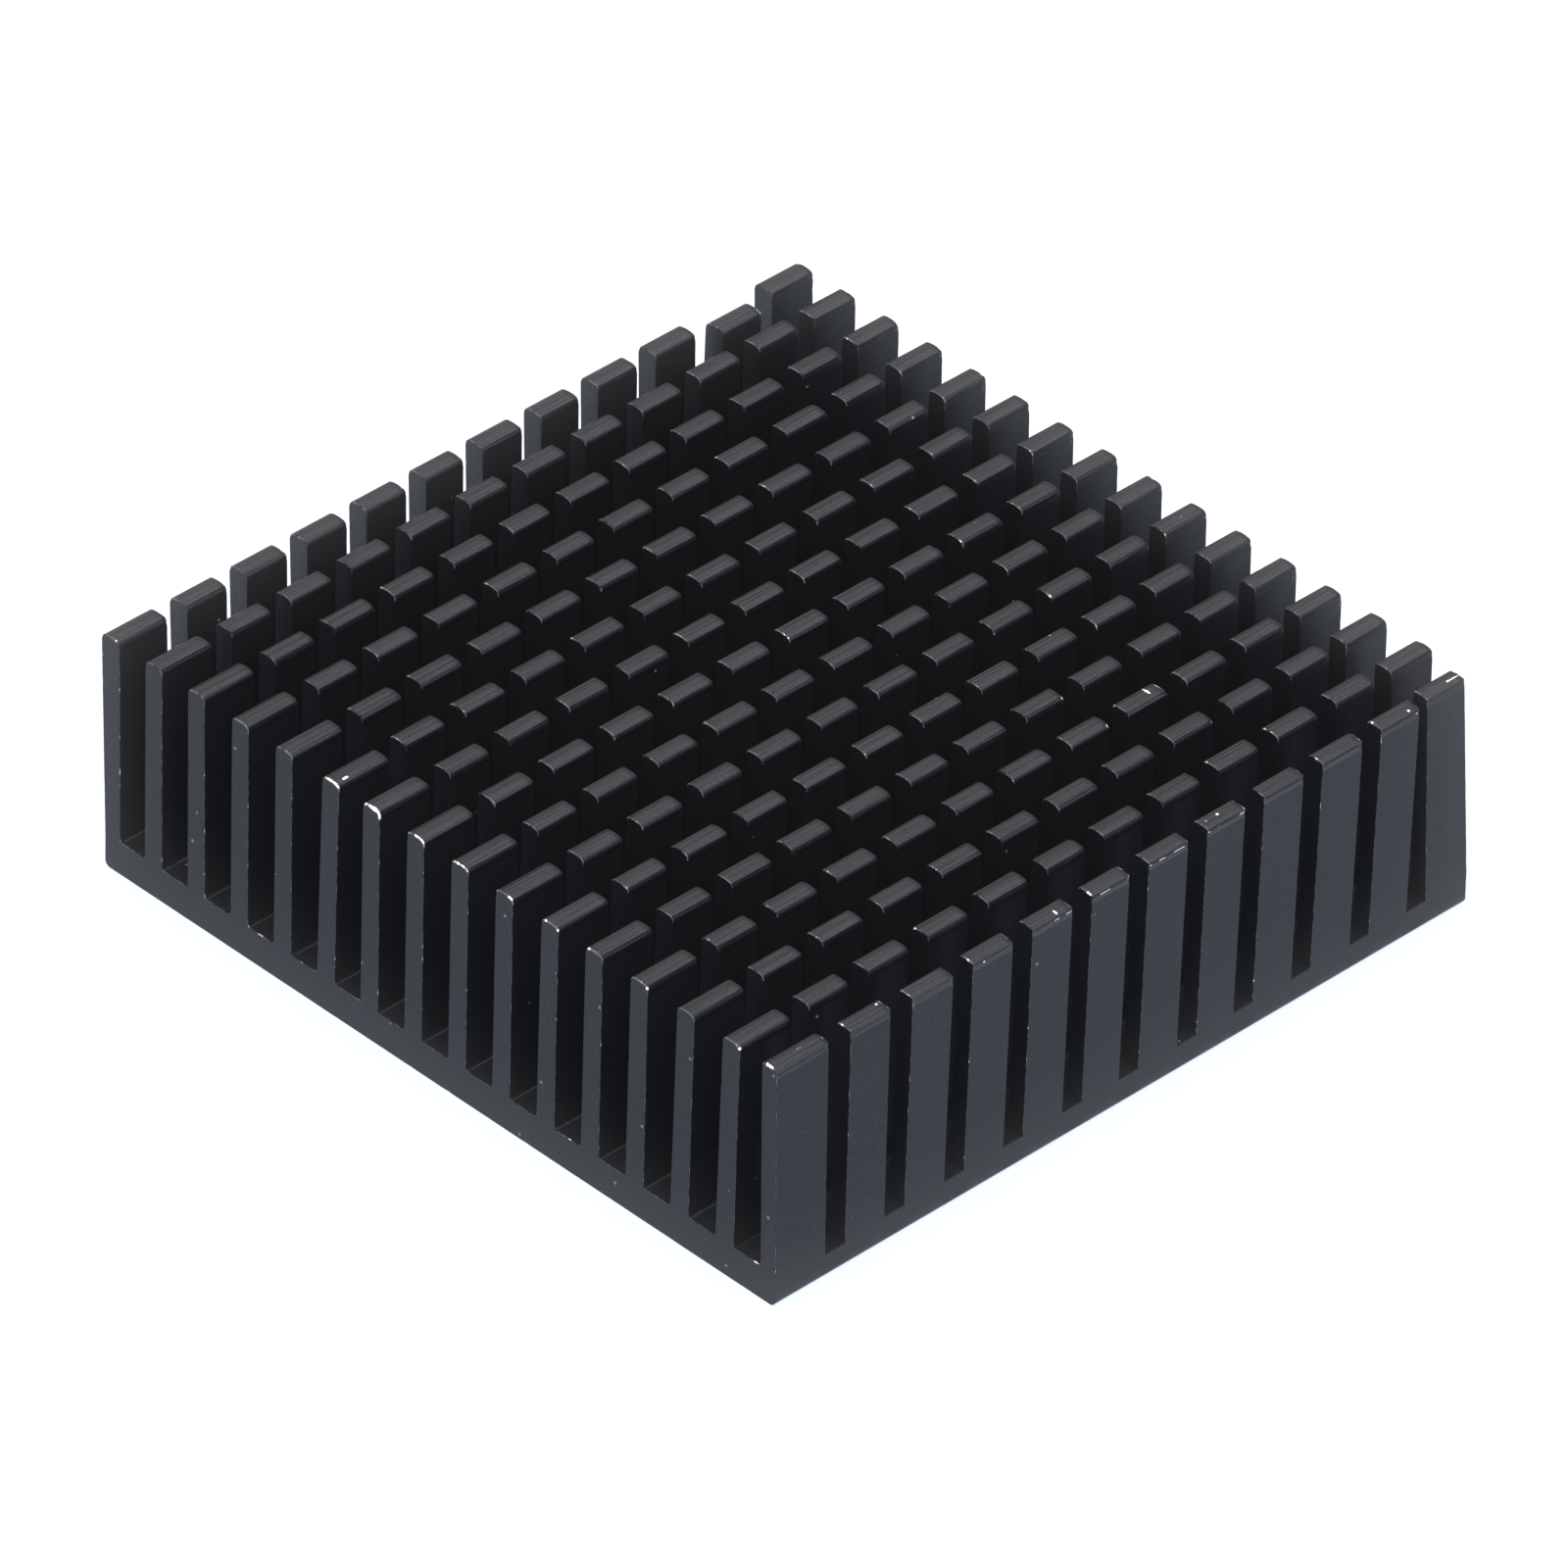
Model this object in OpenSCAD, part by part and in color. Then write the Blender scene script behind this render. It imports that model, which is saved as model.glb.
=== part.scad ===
// Heat sink: one black aluminium extrusion whose fins are cross cut into rows of pins.
// The fins run along X and repeat along Y. The flat underside lies on the XY plane, centred.
// All sizes are in millimetres.

/* [Overall] */
// Length along the fins, from one sawn end to the other
length = 40; // [24:0.5:80]
// Width across the fins
width = 40; // [24:0.5:80]
// Height from the underside to the fin tips
height = 11.9; // [8:0.1:24]

/* [Base] */
// Thickness of the base under the channels
base_t = 1.67; // [1.5:0.01:4]
// Radius of the two long lower edges
base_edge_r = 0.3; // [0.1:0.01:0.6]

/* [Fins] */
// Thickness of an inner fin
fin_t = 1.05; // [0.7:0.01:2.5]
// Width of the channel between two fins
channel_w = 1.57; // [1:0.01:4]
// Least thickness of the two outer fins, which share what the channels leave
side_fin_min = 0.7; // [0.5:0.01:1.5]
// Radius of the long edges of a fin tip
tip_r = 0.18; // [0.05:0.01:0.3]
// Radius of the outer tip edge of the two outer fins
side_tip_r = 0.22; // [0.1:0.01:0.6]
// Radius at the root of a fin
root_r = 0.15; // [0.05:0.01:0.4]

/* [Cross cuts] */
// Width of a saw cut across the fins
cut_w = 1.12; // [0.6:0.01:3]
// Length of a pin between two saw cuts
pin_l = 2.24; // [1:0.01:6]
// Length of the first pin of each row, at the near sawn end
first_pin_l = 2.81; // [1:0.01:6]
// Least length of the last pin of each row
last_pin_min = 1.2; // [0.8:0.1:2]
// Thickness of the base left under the saw cuts
cut_floor_t = 1.38; // [0.8:0.01:3]
// Extra depth of the first saw cut
first_cut_extra = 0.18; // [0:0.01:0.4]
// How far the far sawn end leans in at the top
end_lean = 0.19; // [0.02:0.01:0.6]

/* [Bent pins] */
// Inward lean of the near corner pin at its tip
near_lean = 0.28; // [0.02:0.01:0.6]
// Inward lean of the pin beside it
second_lean = 0.15; // [0.02:0.01:0.6]
// Inward lean of the far corner pin
far_lean = 0.2; // [0.02:0.01:0.6]
// Lean of the far corner pin along its row
far_row_lean = 0.47; // [0.02:0.01:0.7]
// Inward lean of the bent pin in the last row
last_row_lean = 0.66; // [0.02:0.01:0.9]
// Lean of that pin along its row
last_row_side_lean = 0.13; // [0.02:0.01:0.5]

/* [Hidden] */
$fn = 48;
anodised = [0.24, 0.25, 0.27];
// How far a cutting shape runs past what it cuts
past = 2;
// How deep in the base the bent pins start, and how far they stand in from their sawn faces
bend_depth = 0.15;
bend_room = 0.01;

fin_pitch = fin_t + channel_w;
channel_n = floor((width - 2 * side_fin_min + fin_t) / fin_pitch);
fin_n = channel_n + 1;
side_fin_t = (width - channel_n * channel_w - (channel_n - 1) * fin_t) / 2;

cut_pitch = pin_l + cut_w;
cut_n = 1 + floor((length - first_pin_l - cut_w - last_pin_min) / cut_pitch);
pin_n = cut_n + 1;

// Rounds stay within half of the wall that they are on
tip_round = min(tip_r, fin_t / 2.2, side_fin_t / 2.2);
side_round = min(side_tip_r, side_fin_t - tip_round);
root_round = min(root_r, channel_w / 2.2);
base_round = min(base_edge_r, cut_floor_t / 2);

bend_z = base_t - bend_depth;

function channel_y(i) = -width / 2 + side_fin_t + i * fin_pitch;
function fin_y(i) = i == 0 ? -width / 2 : channel_y(i - 1) + channel_w;
function fin_end_y(i) = i == fin_n - 1 ? width / 2 : channel_y(i);
function cut_x(j) = -length / 2 + first_pin_l + j * cut_pitch;
function pin_x(j) = j == 0 ? -length / 2 : cut_x(j - 1) + cut_w;
function pin_end_x(j) = j == pin_n - 1 ? length / 2 : cut_x(j);

// Each bent pin: its fin, its place in the row, and how far its tip leans along X and Y
bent_pins = [
    [0, 0, 0, near_lean],
    [0, 1, 0, second_lean],
    [0, pin_n - 1, -far_row_lean, far_lean],
    [fin_n - 1, pin_n - 2, -last_row_side_lean, -last_row_lean],
];

// The waste outside a round of radius r on a corner at the origin, with the solid towards -x and -y
module corner_waste(r) {
    difference() {
        translate([-r, -r])
            square([r + past, r + past]);
        translate([-r, -r])
            circle(r);
    }
}

// Half of a channel's section: its wall at x = 0, its root round and the round on the fin tip beside it
module half_channel() {
    half_w = channel_w / 2;
    translate([0, base_t + root_round])
        square([half_w, height]);
    translate([root_round, base_t])
        square([half_w - root_round, root_round]);
    translate([root_round, base_t + root_round])
        circle(root_round);
    intersection() {
        translate([0, height])
            corner_waste(tip_round);
        translate([-tip_round, 0])
            square([tip_round + half_w, height + past]);
    }
}

module channel() {
    half_channel();
    translate([channel_w, 0])
        mirror([1, 0])
            half_channel();
}

// The extrusion's section, with Y across the page and Z up
module section() {
    difference() {
        translate([-width / 2, 0])
            square([width, height]);
        for (side = [0, 1]) {
            mirror([side, 0]) {
                translate([width / 2, height])
                    corner_waste(side_round);
                translate([width / 2, 0])
                    mirror([0, 1])
                        corner_waste(base_round);
            }
        }
        for (i = [0 : channel_n - 1]) {
            translate([channel_y(i), 0])
                channel();
        }
    }
}

// Runs a section drawn in Y and Z from x0 to x1
module run_along_x(x0, x1) {
    translate([x0, 0, 0])
        rotate([90, 0, 90])
            linear_extrude(x1 - x0)
                children();
}

module saw_cuts() {
    for (j = [0 : cut_n - 1]) {
        floor_z = j == 0 ? cut_floor_t - first_cut_extra : cut_floor_t;
        translate([cut_x(j), -width / 2 - past, floor_z])
            cube([cut_w, width + 2 * past, height]);
    }
}

// What the out-of-square saw takes off the far end
module end_waste() {
    translate([length / 2, 0, 0])
        rotate([0, -atan2(end_lean, height), 0])
            translate([0, -width / 2 - past, -past])
                cube([length, width + 2 * past, height + 3 * past]);
}

// Clears one pin away down to the channel floor, with its root rounds
module pin_clearance(i, j) {
    side_room = channel_w / 2;
    end_room = cut_w / 2;
    translate([pin_x(j) - end_room, fin_y(i) - side_room, base_t])
        cube([pin_end_x(j) - pin_x(j) + 2 * end_room, fin_end_y(i) - fin_y(i) + 2 * side_room, height]);
}

// One bent pin before it is bent
module straight_pin(i, j) {
    difference() {
        run_along_x(pin_x(j) + bend_room, pin_end_x(j) - bend_room) {
            intersection() {
                section();
                translate([fin_y(i), bend_z])
                    square([fin_end_y(i) - fin_y(i), height]);
            }
        }
        end_waste();
    }
}

// One pin tilted about the corner of the underside that it leans away from
module bent_pin(i, j, lean_x, lean_y) {
    foot = [lean_x < 0 ? pin_end_x(j) : pin_x(j), lean_y < 0 ? fin_end_y(i) : fin_y(i), 0];
    tilt = asin(norm([lean_x, lean_y]) / height);
    translate(foot)
        rotate(tilt, [-lean_y, lean_x, 0])
            translate(-foot)
                straight_pin(i, j);
}

module heat_sink() {
    color(anodised) {
        difference() {
            run_along_x(-length / 2, length / 2)
                section();
            saw_cuts();
            end_waste();
            for (pin = bent_pins) {
                pin_clearance(pin[0], pin[1]);
            }
        }
        for (pin = bent_pins) {
            bent_pin(pin[0], pin[1], pin[2], pin[3]);
        }
    }
}

heat_sink();
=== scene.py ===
"""Looks of a black anodised heat sink: sawn pins with broken edges, chips of bare metal and satin faces."""
import math

import bmesh
import bpy
import numpy as np
from mathutils import Matrix, Vector, noise


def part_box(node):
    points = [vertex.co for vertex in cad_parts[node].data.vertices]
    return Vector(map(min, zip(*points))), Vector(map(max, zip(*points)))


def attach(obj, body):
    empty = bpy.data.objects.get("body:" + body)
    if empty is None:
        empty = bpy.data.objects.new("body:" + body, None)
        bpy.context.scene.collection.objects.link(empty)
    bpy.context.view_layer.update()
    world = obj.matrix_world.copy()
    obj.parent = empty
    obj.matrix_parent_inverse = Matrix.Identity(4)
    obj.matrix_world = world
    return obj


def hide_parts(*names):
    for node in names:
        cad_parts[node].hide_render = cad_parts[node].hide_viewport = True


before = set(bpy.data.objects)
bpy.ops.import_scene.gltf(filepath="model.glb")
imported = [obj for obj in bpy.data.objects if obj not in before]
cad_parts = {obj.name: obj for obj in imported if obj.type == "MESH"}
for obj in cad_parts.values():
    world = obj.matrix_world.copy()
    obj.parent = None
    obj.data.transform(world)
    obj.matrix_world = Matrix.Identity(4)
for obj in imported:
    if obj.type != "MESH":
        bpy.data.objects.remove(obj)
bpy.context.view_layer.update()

MM = 0.001
NODE = "heat_sink"
low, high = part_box(NODE)
LENGTH, WIDTH, HEIGHT = [round((b - a) / MM, 2) for a, b in zip(low, high)]

# Sizes and places are in millimetres where nothing else is said: x from the near sawn end, y from the right
# face, z from the underside. A section is drawn with y to the right, so its left end is the right face.

# Extruded section
BASE_T = 1.67
BASE_R = 0.3
FIN_T = 1.05
CHANNEL_W = 1.57
CHANNELS = 15
FINS = CHANNELS + 1
SIDE_FIN_T = (WIDTH - CHANNELS * CHANNEL_W - (CHANNELS - 1) * FIN_T) / 2
LAST_FIN_EXTRA = 0.045
ROOT_R = 0.15
# Rounds of a tip on its left and on its right, and of the outer tip edges of the first and the last fin
FRONT_TIP_R = 0.23
TIP_R = 0.19
SIDE_TIP_R = 0.012
LAST_TIP_R = 0.32
# The walls draw in towards the tips, but the last fin's outer wall flares out
WALL_TAPER = 0.03
LAST_FLARE = 0.21
# The tips are crowned, the first one like a lean-to: slopes where the crown meets the rounds of a tip
CROWN = math.radians(10)
LEAN_TO = (math.radians(14), math.radians(2))

# Saw cuts across the fins, each with its small shift from an even pitch. CUT_SET moves them all, and their
# lean at the tips differs at the two outer fins and at the last pins.
CUT_SHIFT = [0.03, 0.01, 0.04, 0.05, 0.07, -0.03, -0.02, -0.09, -0.06, 0.02, 0.03]
CUTS = len(CUT_SHIFT)
PINS = CUTS + 1
CUT_W = 1.12
CUT_SET = -0.05
CUT_LEAN = 0.02
SIDE_LEAN = {0: 0.1, FINS - 1: -0.13}
LAST_CUT_LEAN = -0.12
PIN_L = 2.24
FIRST_PIN_L = 2.81
CUT_FLOOR = 1.38
FIRST_CUT_FLOOR = 1.2
END_LEAN = 0.19
SAW_WANDER = 0.012

# The base's outer sides are meshed as a skirt up to SKIRT_TOP and by these levels above it
SKIRT_TOP = 1.0
SIDE_LEVELS = [SKIRT_TOP, FIRST_CUT_FLOOR, CUT_FLOOR, BASE_T]

# The two sawn ends, as pin and side: side 0 of a pin faces the near end and side 1 the far end
NEAR_END = (0, 0)
FAR_END = (PINS - 1, 1)

# Bent pins: (fin, pin) and how far the tip leans along X and Y
BENT = {
    (0, 0): (0.0, 0.28),
    (0, 1): (0.0, 0.15),
    (0, PINS - 1): (-0.47, 0.2),
    (1, 0): (0.0, -0.09),
    (2, 0): (0.0, -0.08),
    (5, 0): (0.0, -0.05),
    (10, 0): (0.0, -0.19),
    (13, 0): (0.0, 0.04),
    (FINS - 1, PINS - 2): (-0.13, -0.66),
}
# The other pins sway a little, each its own way
PIN_SWAY = 0.02
SWAY_WAVES = 0.77

# Broken edges: width of the plain break at a tip, of the nibbles on it, the share of both below the tips,
# and the slant, flatter at the far edge of a tip
END_BREAK = 0.035
CUT_BREAK = 0.04
UPRIGHT_SHARE = 0.35
END_NIBBLE = 0.1
CUT_NIBBLE = 0.06
BREAK_SLANT = 0.9
FAR_TIP_SLANT = 1.7
# How far in from a sawn face the plain part of a pin starts
EDGE_ROOM = 0.34

# Noise along an edge: how much the break and the nibbles vary, the level at which a nibble starts, and
# how many waves each noise has in a millimetre
BREAK_SWING = 0.35
BREAK_WAVES = 1.7
NIBBLE_START = 0.2
NIBBLE_WAVES = 2.6
RAGGED_SWING = 0.5
RAGGED_WAVES = 8
SCUFF_WAVES = 3.3
SHOWN_WAVES = 4.3

# How scuffed a break is: at the near edge of a tip, on the outside of the part, and how much that varies
TIP_EDGE = HEIGHT - 0.35
TIP_SCUFF = 0.3
SHOWN_SCUFF = 0.25
SCUFF_SPREAD = 0.32
SHOWN_SPREAD = 0.5

# How bare a chip is for each millimetre of its depth, and how rough its bottom is
BARE_RATE = 24.0
CHIP_ROUGH = 0.45
CHIP_WAVES = 9

# Small chips at the near front corner of some inner tips: how rare they are, their place from the fin's
# wall and how much it varies, and their reach and depth
STRAY_RARITY = 0.32
STRAY_PLACE = 0.25
STRAY_SPREAD = 0.2
STRAY_REACH = 0.11
STRAY_DEPTH = 0.02

# Seeds of the noises, so that no two uses look alike
CHIP_SEED = 1
SAW_SEED = 3
BREAK_SEED = 5
NIBBLE_SEED = 7
RAGGED_SEED = 8
SCUFF_SEED = 11
SWAY_SEEDS = (21, 22)
STRAY_SEED = 31
STRAY_PLACE_SEED = 32

# Steps of the mesh: how many fine ones make a coarse one, then the coarse ones up a wall (LAST_STEP is the
# share of the last one), round a root, round a tip and over its top, and round the base's lower edge and up
# its side
FINE = 4
WALL_STEPS = 14
COARSE_WALL = 4
LAST_STEP = 0.005
ROOT_STEPS = 3
SHOWN_TIP = (5, 4)
INNER_TIP = (4, 3)
SKIRT_STEPS = (4, 2)
# Rows along a pin, steps along a saw cut's floor and along the end of a channel's floor, and points along
# the ends of the underside
SHOWN_ROWS = 8
INNER_ROWS = 4
TRENCH_STEPS = 8
FLOOR_STEPS = 10
BOTTOM_POINTS = 240
# Points that meet within this distance are one, and edges sharper than this angle stay sharp
WELD = 2e-6
MEET = 1e-5
SHARP_ANGLE = math.radians(33)

# Chips on the edges of a sawn face, by pin and side: y, z, reach and depth
CHIPS = {
    NEAR_END: [
        (2.51, 11.76, 0.09, 0.048),
        (7.74, 11.76, 0.1, 0.048),
        (8.35, 11.9, 0.1, 0.014),
        (13.0, 11.76, 0.1, 0.05),
        (13.7, 11.9, 0.1, 0.036),
        (15.52, 10.96, 0.09, 0.036),
        (15.54, 11.72, 0.08, 0.03),
        (23.4, 11.6, 0.16, 0.054),
        (31.8, 11.9, 0.16, 0.016),
        (34.4, 11.9, 0.07, 0.02),
        (34.7, 11.88, 0.07, 0.02),
        (39.35, 11.9, 0.09, 0.032),
        (1.15, 1.64, 0.2, 0.036),
        (12.0, 1.67, 0.12, 0.024),
        (30.45, 1.66, 0.3, 0.024),
    ],
    (0, 1): [(0.0, 4.8, 0.16, 0.024), (0.0, 2.9, 0.14, 0.024)],
    (1, 0): [(0.55, 11.88, 0.26, 0.023), (0.1, 11.72, 0.24, 0.013)],
    (1, 1): [(0.6, 11.9, 0.14, 0.023), (0.1, 11.7, 0.12, 0.013)],
    (2, 0): [(0.02, 11.6, 0.14, 0.02), (8.36, 11.8, 0.14, 0.035)],
    (3, 0): [(0, 11.15, 0.14, 0.02), (0.25, 11.85, 0.24, 0.02)],
    (5, 0): [(0.22, 11.84, 0.26, 0.026)],
    (6, 0): [(0.25, 11.84, 0.24, 0.017)],
    (7, 0): [(0.75, 11.9, 0.12, 0.017)],
    (7, 1): [(7.82, 11.8, 0.12, 0.03), (10.42, 11.78, 0.1, 0.035)],
    (8, 0): [
        (0.05, 11.6, 0.18, 0.017),
        (0, 4.7, 0.15, 0.024),
        (0, 2.5, 0.15, 0.024),
        (3.25, 11.84, 0.14, 0.03),
        (8.62, 11.82, 0.12, 0.025),
    ],
    (8, 1): [(5.15, 11.8, 0.1, 0.02), (8.3, 11.9, 0.3, 0.03)],
    (9, 0): [
        (0.4, 11.9, 0.17, 0.023),
        (3.3, 11.84, 0.12, 0.022),
        (15.8, 11.8, 0.25, 0.025),
        (21, 11.8, 0.25, 0.025),
    ],
    (10, 0): [
        (0.6, 11.9, 0.18, 0.023),
        (0.02, 11.6, 0.12, 0.017),
        (23.7, 11.8, 0.25, 0.025),
        (26.3, 11.8, 0.25, 0.025),
    ],
    (11, 0): [(0.5, 11.9, 0.18, 0.017), (0.05, 11.6, 0.12, 0.017)],
}

# Long chips along the fin tips at the near end: from y to y, depth and how bare the metal is. They start at
# RIM_FOOT and fade out over RIM_FADE.
RIM_FOOT = 11.5
RIM_FADE = 0.08
RIMS = [
    (0.22, 0.62, 0.05, 1.0),
    (2.6, 3.3, 0.01, 0.4),
    (5.2, 6.0, 0.01, 0.35),
    (7.85, 8.6, 0.01, 0.42),
    (10.35, 11.1, 0.015, 0.38),
    (11.05, 11.22, 0.035, 1.0),
    (12.95, 13.75, 0.015, 0.42),
    (15.62, 15.86, 0.04, 0.85),
    (15.5, 16.4, 0.01, 0.36),
    (18.2, 19.15, 0.015, 0.58),
    (18.72, 18.92, 0.02, 0.9),
    (20.8, 21.05, 0.015, 0.65),
    (21.05, 21.4, 0.03, 0.72),
    (21.62, 21.84, 0.015, 0.5),
    (23.4, 24.12, 0.05, 0.8),
    (24.2, 24.42, 0.04, 0.72),
    (26.05, 26.9, 0.03, 0.72),
    (28.65, 29.2, 0.02, 0.4),
    (31.3, 32.2, 0.01, 0.42),
]

# Rubbed spots and scratches: middle and half size along each axis, and how bare the metal is
MARKS = [
    ((0.57, 26.11, 11.86), (0.17, 0.05, 0.08), 1.0),
    ((1.65, 0.75, 11.82), (0.22, 0.05, 0.15), 0.35),
    ((0.2, 23.38, 11.78), (0.07, 0.04, 0.06), 1.0),
    ((5.96, 0.71, 11.82), (0.07, 0.06, 0.15), 0.9),
    ((11.34, 0.03, 11.66), (0.07, 0.07, 0.05), 0.8),
    ((15.58, 0.23, 11.82), (0.05, 0.14, 0.15), 1.0),
    ((25.1, 0.45, 11.82), (0.07, 0.07, 0.15), 1.0),
    ((35.99, 0.17, 11.82), (0.07, 0.06, 0.15), 0.8),
    ((36.3, 0.03, 11.66), (0.07, 0.07, 0.06), 0.7),
    ((38.66, 0.51, 11.8), (0.1, 0.045, 0.15), 1.0),
    ((39.02, 0.5, 11.8), (0.42, 0.025, 0.15), 0.9),
    ((28.95, 8.35, 11.88), (0.06, 0.26, 0.08), 1.0),
]

# A line along the right face, just below the tips, is rubbed between these ends. It fades out within
# RUBBED_LINE_HALF above and below.
RUBBED_LINE_X = (14.2, 26.4)
RUBBED_LINE_Z = 11.69
RUBBED_LINE_HALF = 0.04

# Painted shade: the right wall of the second fin, facing the first channel, gets less shine than the rest,
# which
# darkens it there: its share of the shine, how far off the wall that fades in, and how far below the tips
PAINTED_SHADE_SHINE = 0.4
PAINTED_SHADE_REACH = (0.25, 0.12)
PAINTED_SHADE_TOP = (0.2, 0.4)


def wobble(point, scale, seed):
    """Smooth noise from -1 to 1 at a point in millimetres."""
    return noise.noise(Vector(point) * scale + Vector((seed * 17.3, seed * 5.1, seed * 9.7)))


def fin_walls(fin):
    """The two walls of a fin, as distances from the right face."""
    start = 0.0 if fin == 0 else SIDE_FIN_T + CHANNEL_W + (fin - 1) * (FIN_T + CHANNEL_W)
    end = WIDTH if fin == FINS - 1 else SIDE_FIN_T + fin * (FIN_T + CHANNEL_W)
    if fin == FINS - 1:
        start -= LAST_FIN_EXTRA
    return start, end


def cut_start(cut):
    """Where a saw cut starts, before its lean."""
    return FIRST_PIN_L + cut * (PIN_L + CUT_W) + CUT_SHIFT[cut]


def face_x(pin, side, fin, z):
    """Where a sawn face of a pin stands at a height."""
    if (pin, side) == NEAR_END:
        return 0.0
    if (pin, side) == FAR_END:
        return LENGTH - END_LEAN * z / HEIGHT
    place = cut_start(pin - 1) + CUT_W if side == 0 else cut_start(pin)
    place += SAW_WANDER * wobble((place, fin * 0.9, side), 1.0, SAW_SEED)
    cut_lean = LAST_CUT_LEAN if (pin, side) == (PINS - 1, 0) else CUT_LEAN
    return place + CUT_SET + SIDE_LEAN.get(fin, cut_lean) * rise(z)


def rise(z):
    """Height above the base as a share of a pin's height."""
    return max(0.0, (z - BASE_T) / (HEIGHT - BASE_T))


def cut_floor(cut):
    """Height of a saw cut's floor."""
    return FIRST_CUT_FLOOR if cut == 0 else CUT_FLOOR


def side_heights():
    """Heights of the points up the base's outer side above the skirt, without the last level."""
    return [z for pair in zip(SIDE_LEVELS, SIDE_LEVELS[1:]) for z in np.linspace(*pair, FINE + 1)[:-1]]


def arc(centre, radius, start, end, steps):
    """Points of an arc in the section, with angles in degrees."""
    angles = np.radians(np.linspace(start, end, steps + 1))
    return [(centre[0] + radius * math.cos(a), centre[1] + radius * math.sin(a)) for a in angles]


def wall_shares(steps):
    """Shares of a wall's height from root to tip, with a short last step.

    A coarse wall's points lie closer together towards the tip."""
    if steps == COARSE_WALL:
        return 1 - (1 - np.linspace(0, 1, steps * FINE + 1)) ** 3
    below = np.linspace(0, 1 - LAST_STEP, (steps - 1) * FINE + 1)
    return np.concatenate([below[:-1], np.linspace(1 - LAST_STEP, 1, FINE + 1)])


def fin_profile(fin, wall_steps, tip_steps, top_steps):
    """The section of one fin from root to root, and the indexes of its two root points.

    Each stretch has a multiple of FINE steps, so that every FINE-th point makes a coarser section."""
    start, end = fin_walls(fin)
    outer_left = fin == 0
    outer_right = fin == FINS - 1
    left_r = SIDE_TIP_R if outer_left else FRONT_TIP_R
    right_r = LAST_TIP_R if outer_right else TIP_R
    left_slope, right_slope = LEAN_TO if outer_left else (CROWN, CROWN)
    tip_start = start if outer_left else start + WALL_TAPER
    tip_end = end + LAST_FLARE if outer_right else end - WALL_TAPER
    left_steps, right_steps = wall_steps

    top_start = tip_start + left_r * (1 - math.sin(left_slope))
    top_end = tip_end - right_r * (1 - math.sin(right_slope))
    rise_rate, fall_rate = math.tan(left_slope), math.tan(right_slope)
    bow = (rise_rate + fall_rate) / (2 * (top_end - top_start))
    crest = rise_rate / (2 * bow)
    left_top = HEIGHT - bow * crest ** 2
    right_top = HEIGHT - bow * (top_end - top_start - crest) ** 2
    left_centre = (tip_start + left_r, left_top - left_r * math.cos(left_slope))
    right_centre = (tip_end - right_r, right_top - right_r * math.cos(right_slope))

    points = []
    if outer_left:
        points += [(start, z) for z in side_heights()]
        wall_foot = BASE_T
    else:
        points += arc((start - ROOT_R, BASE_T + ROOT_R), ROOT_R, -90, 0, ROOT_STEPS * FINE)[:-1]
        wall_foot = BASE_T + ROOT_R
    left_root = len(points) if outer_left else 0
    for t in wall_shares(left_steps)[:-1]:
        points.append((start + t * (tip_start - start), wall_foot + t * (left_centre[1] - wall_foot)))
    points += arc(left_centre, left_r, 180, 90 + math.degrees(left_slope), tip_steps * FINE)[:-1]
    for y in np.linspace(top_start, top_end, top_steps * FINE + 1)[:-1]:
        points.append((y, HEIGHT - bow * (y - top_start - crest) ** 2))
    points += arc(right_centre, right_r, 90 - math.degrees(right_slope), 0, tip_steps * FINE)[:-1]
    wall_foot = BASE_T if outer_right else BASE_T + ROOT_R
    for t in reversed(wall_shares(right_steps)):
        points.append((end + t * (tip_end - end), wall_foot + t * (right_centre[1] - wall_foot)))
    right_root = len(points) - 1
    if outer_right:
        points += [(end, z) for z in reversed(side_heights())]
    else:
        points += arc((end + ROOT_R, BASE_T + ROOT_R), ROOT_R, 180, 270, ROOT_STEPS * FINE)[1:]
        right_root = len(points) - 1
    return np.array(points), left_root, right_root


def inward_normals(points):
    """Unit normals into the solid along a section that is followed with the solid on its right."""
    steps = np.diff(points, axis=0)
    steps /= np.linalg.norm(steps, axis=1)[:, None]
    along = np.vstack([steps[:1], steps[:-1] + steps[1:], steps[-1:]])
    along /= np.linalg.norm(along, axis=1)[:, None]
    return np.column_stack([along[:, 1], -along[:, 0]])


def within(value, start, end):
    """1 between two limits, falling to 0 outside them."""
    ways_in = [(value - start) / RIM_FADE + 0.5, (end - value) / RIM_FADE + 0.5]
    return min(1.0, max(0.0, min(ways_in)))


def chip_at(point, pin, side):
    """How deep the chips bite at a point of a sawn face's edge, and how bare the metal is there."""
    _, y, z = point
    depth = bare = 0.0
    rough = 1 + CHIP_ROUGH * wobble(point, CHIP_WAVES, CHIP_SEED)
    for chip_y, chip_z, reach, bite in CHIPS.get((pin, side), ()):
        share = 1 - (math.hypot(y - chip_y, z - chip_z) / reach) ** 2
        if share > 0:
            depth = max(depth, bite * share * rough)
            bare = max(bare, min(1.0, BARE_RATE * bite) * share)
    if (pin, side) == NEAR_END and z > RIM_FOOT:
        for start, end, bite, level in RIMS:
            share = within(y, start, end)
            depth = max(depth, bite * share * rough)
            bare = max(bare, level * share)
    if side == 0 and pin > 0 and z > TIP_EDGE:
        depth, bare = max((depth, bare), stray_chip(point, pin))
    return depth, bare


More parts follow.
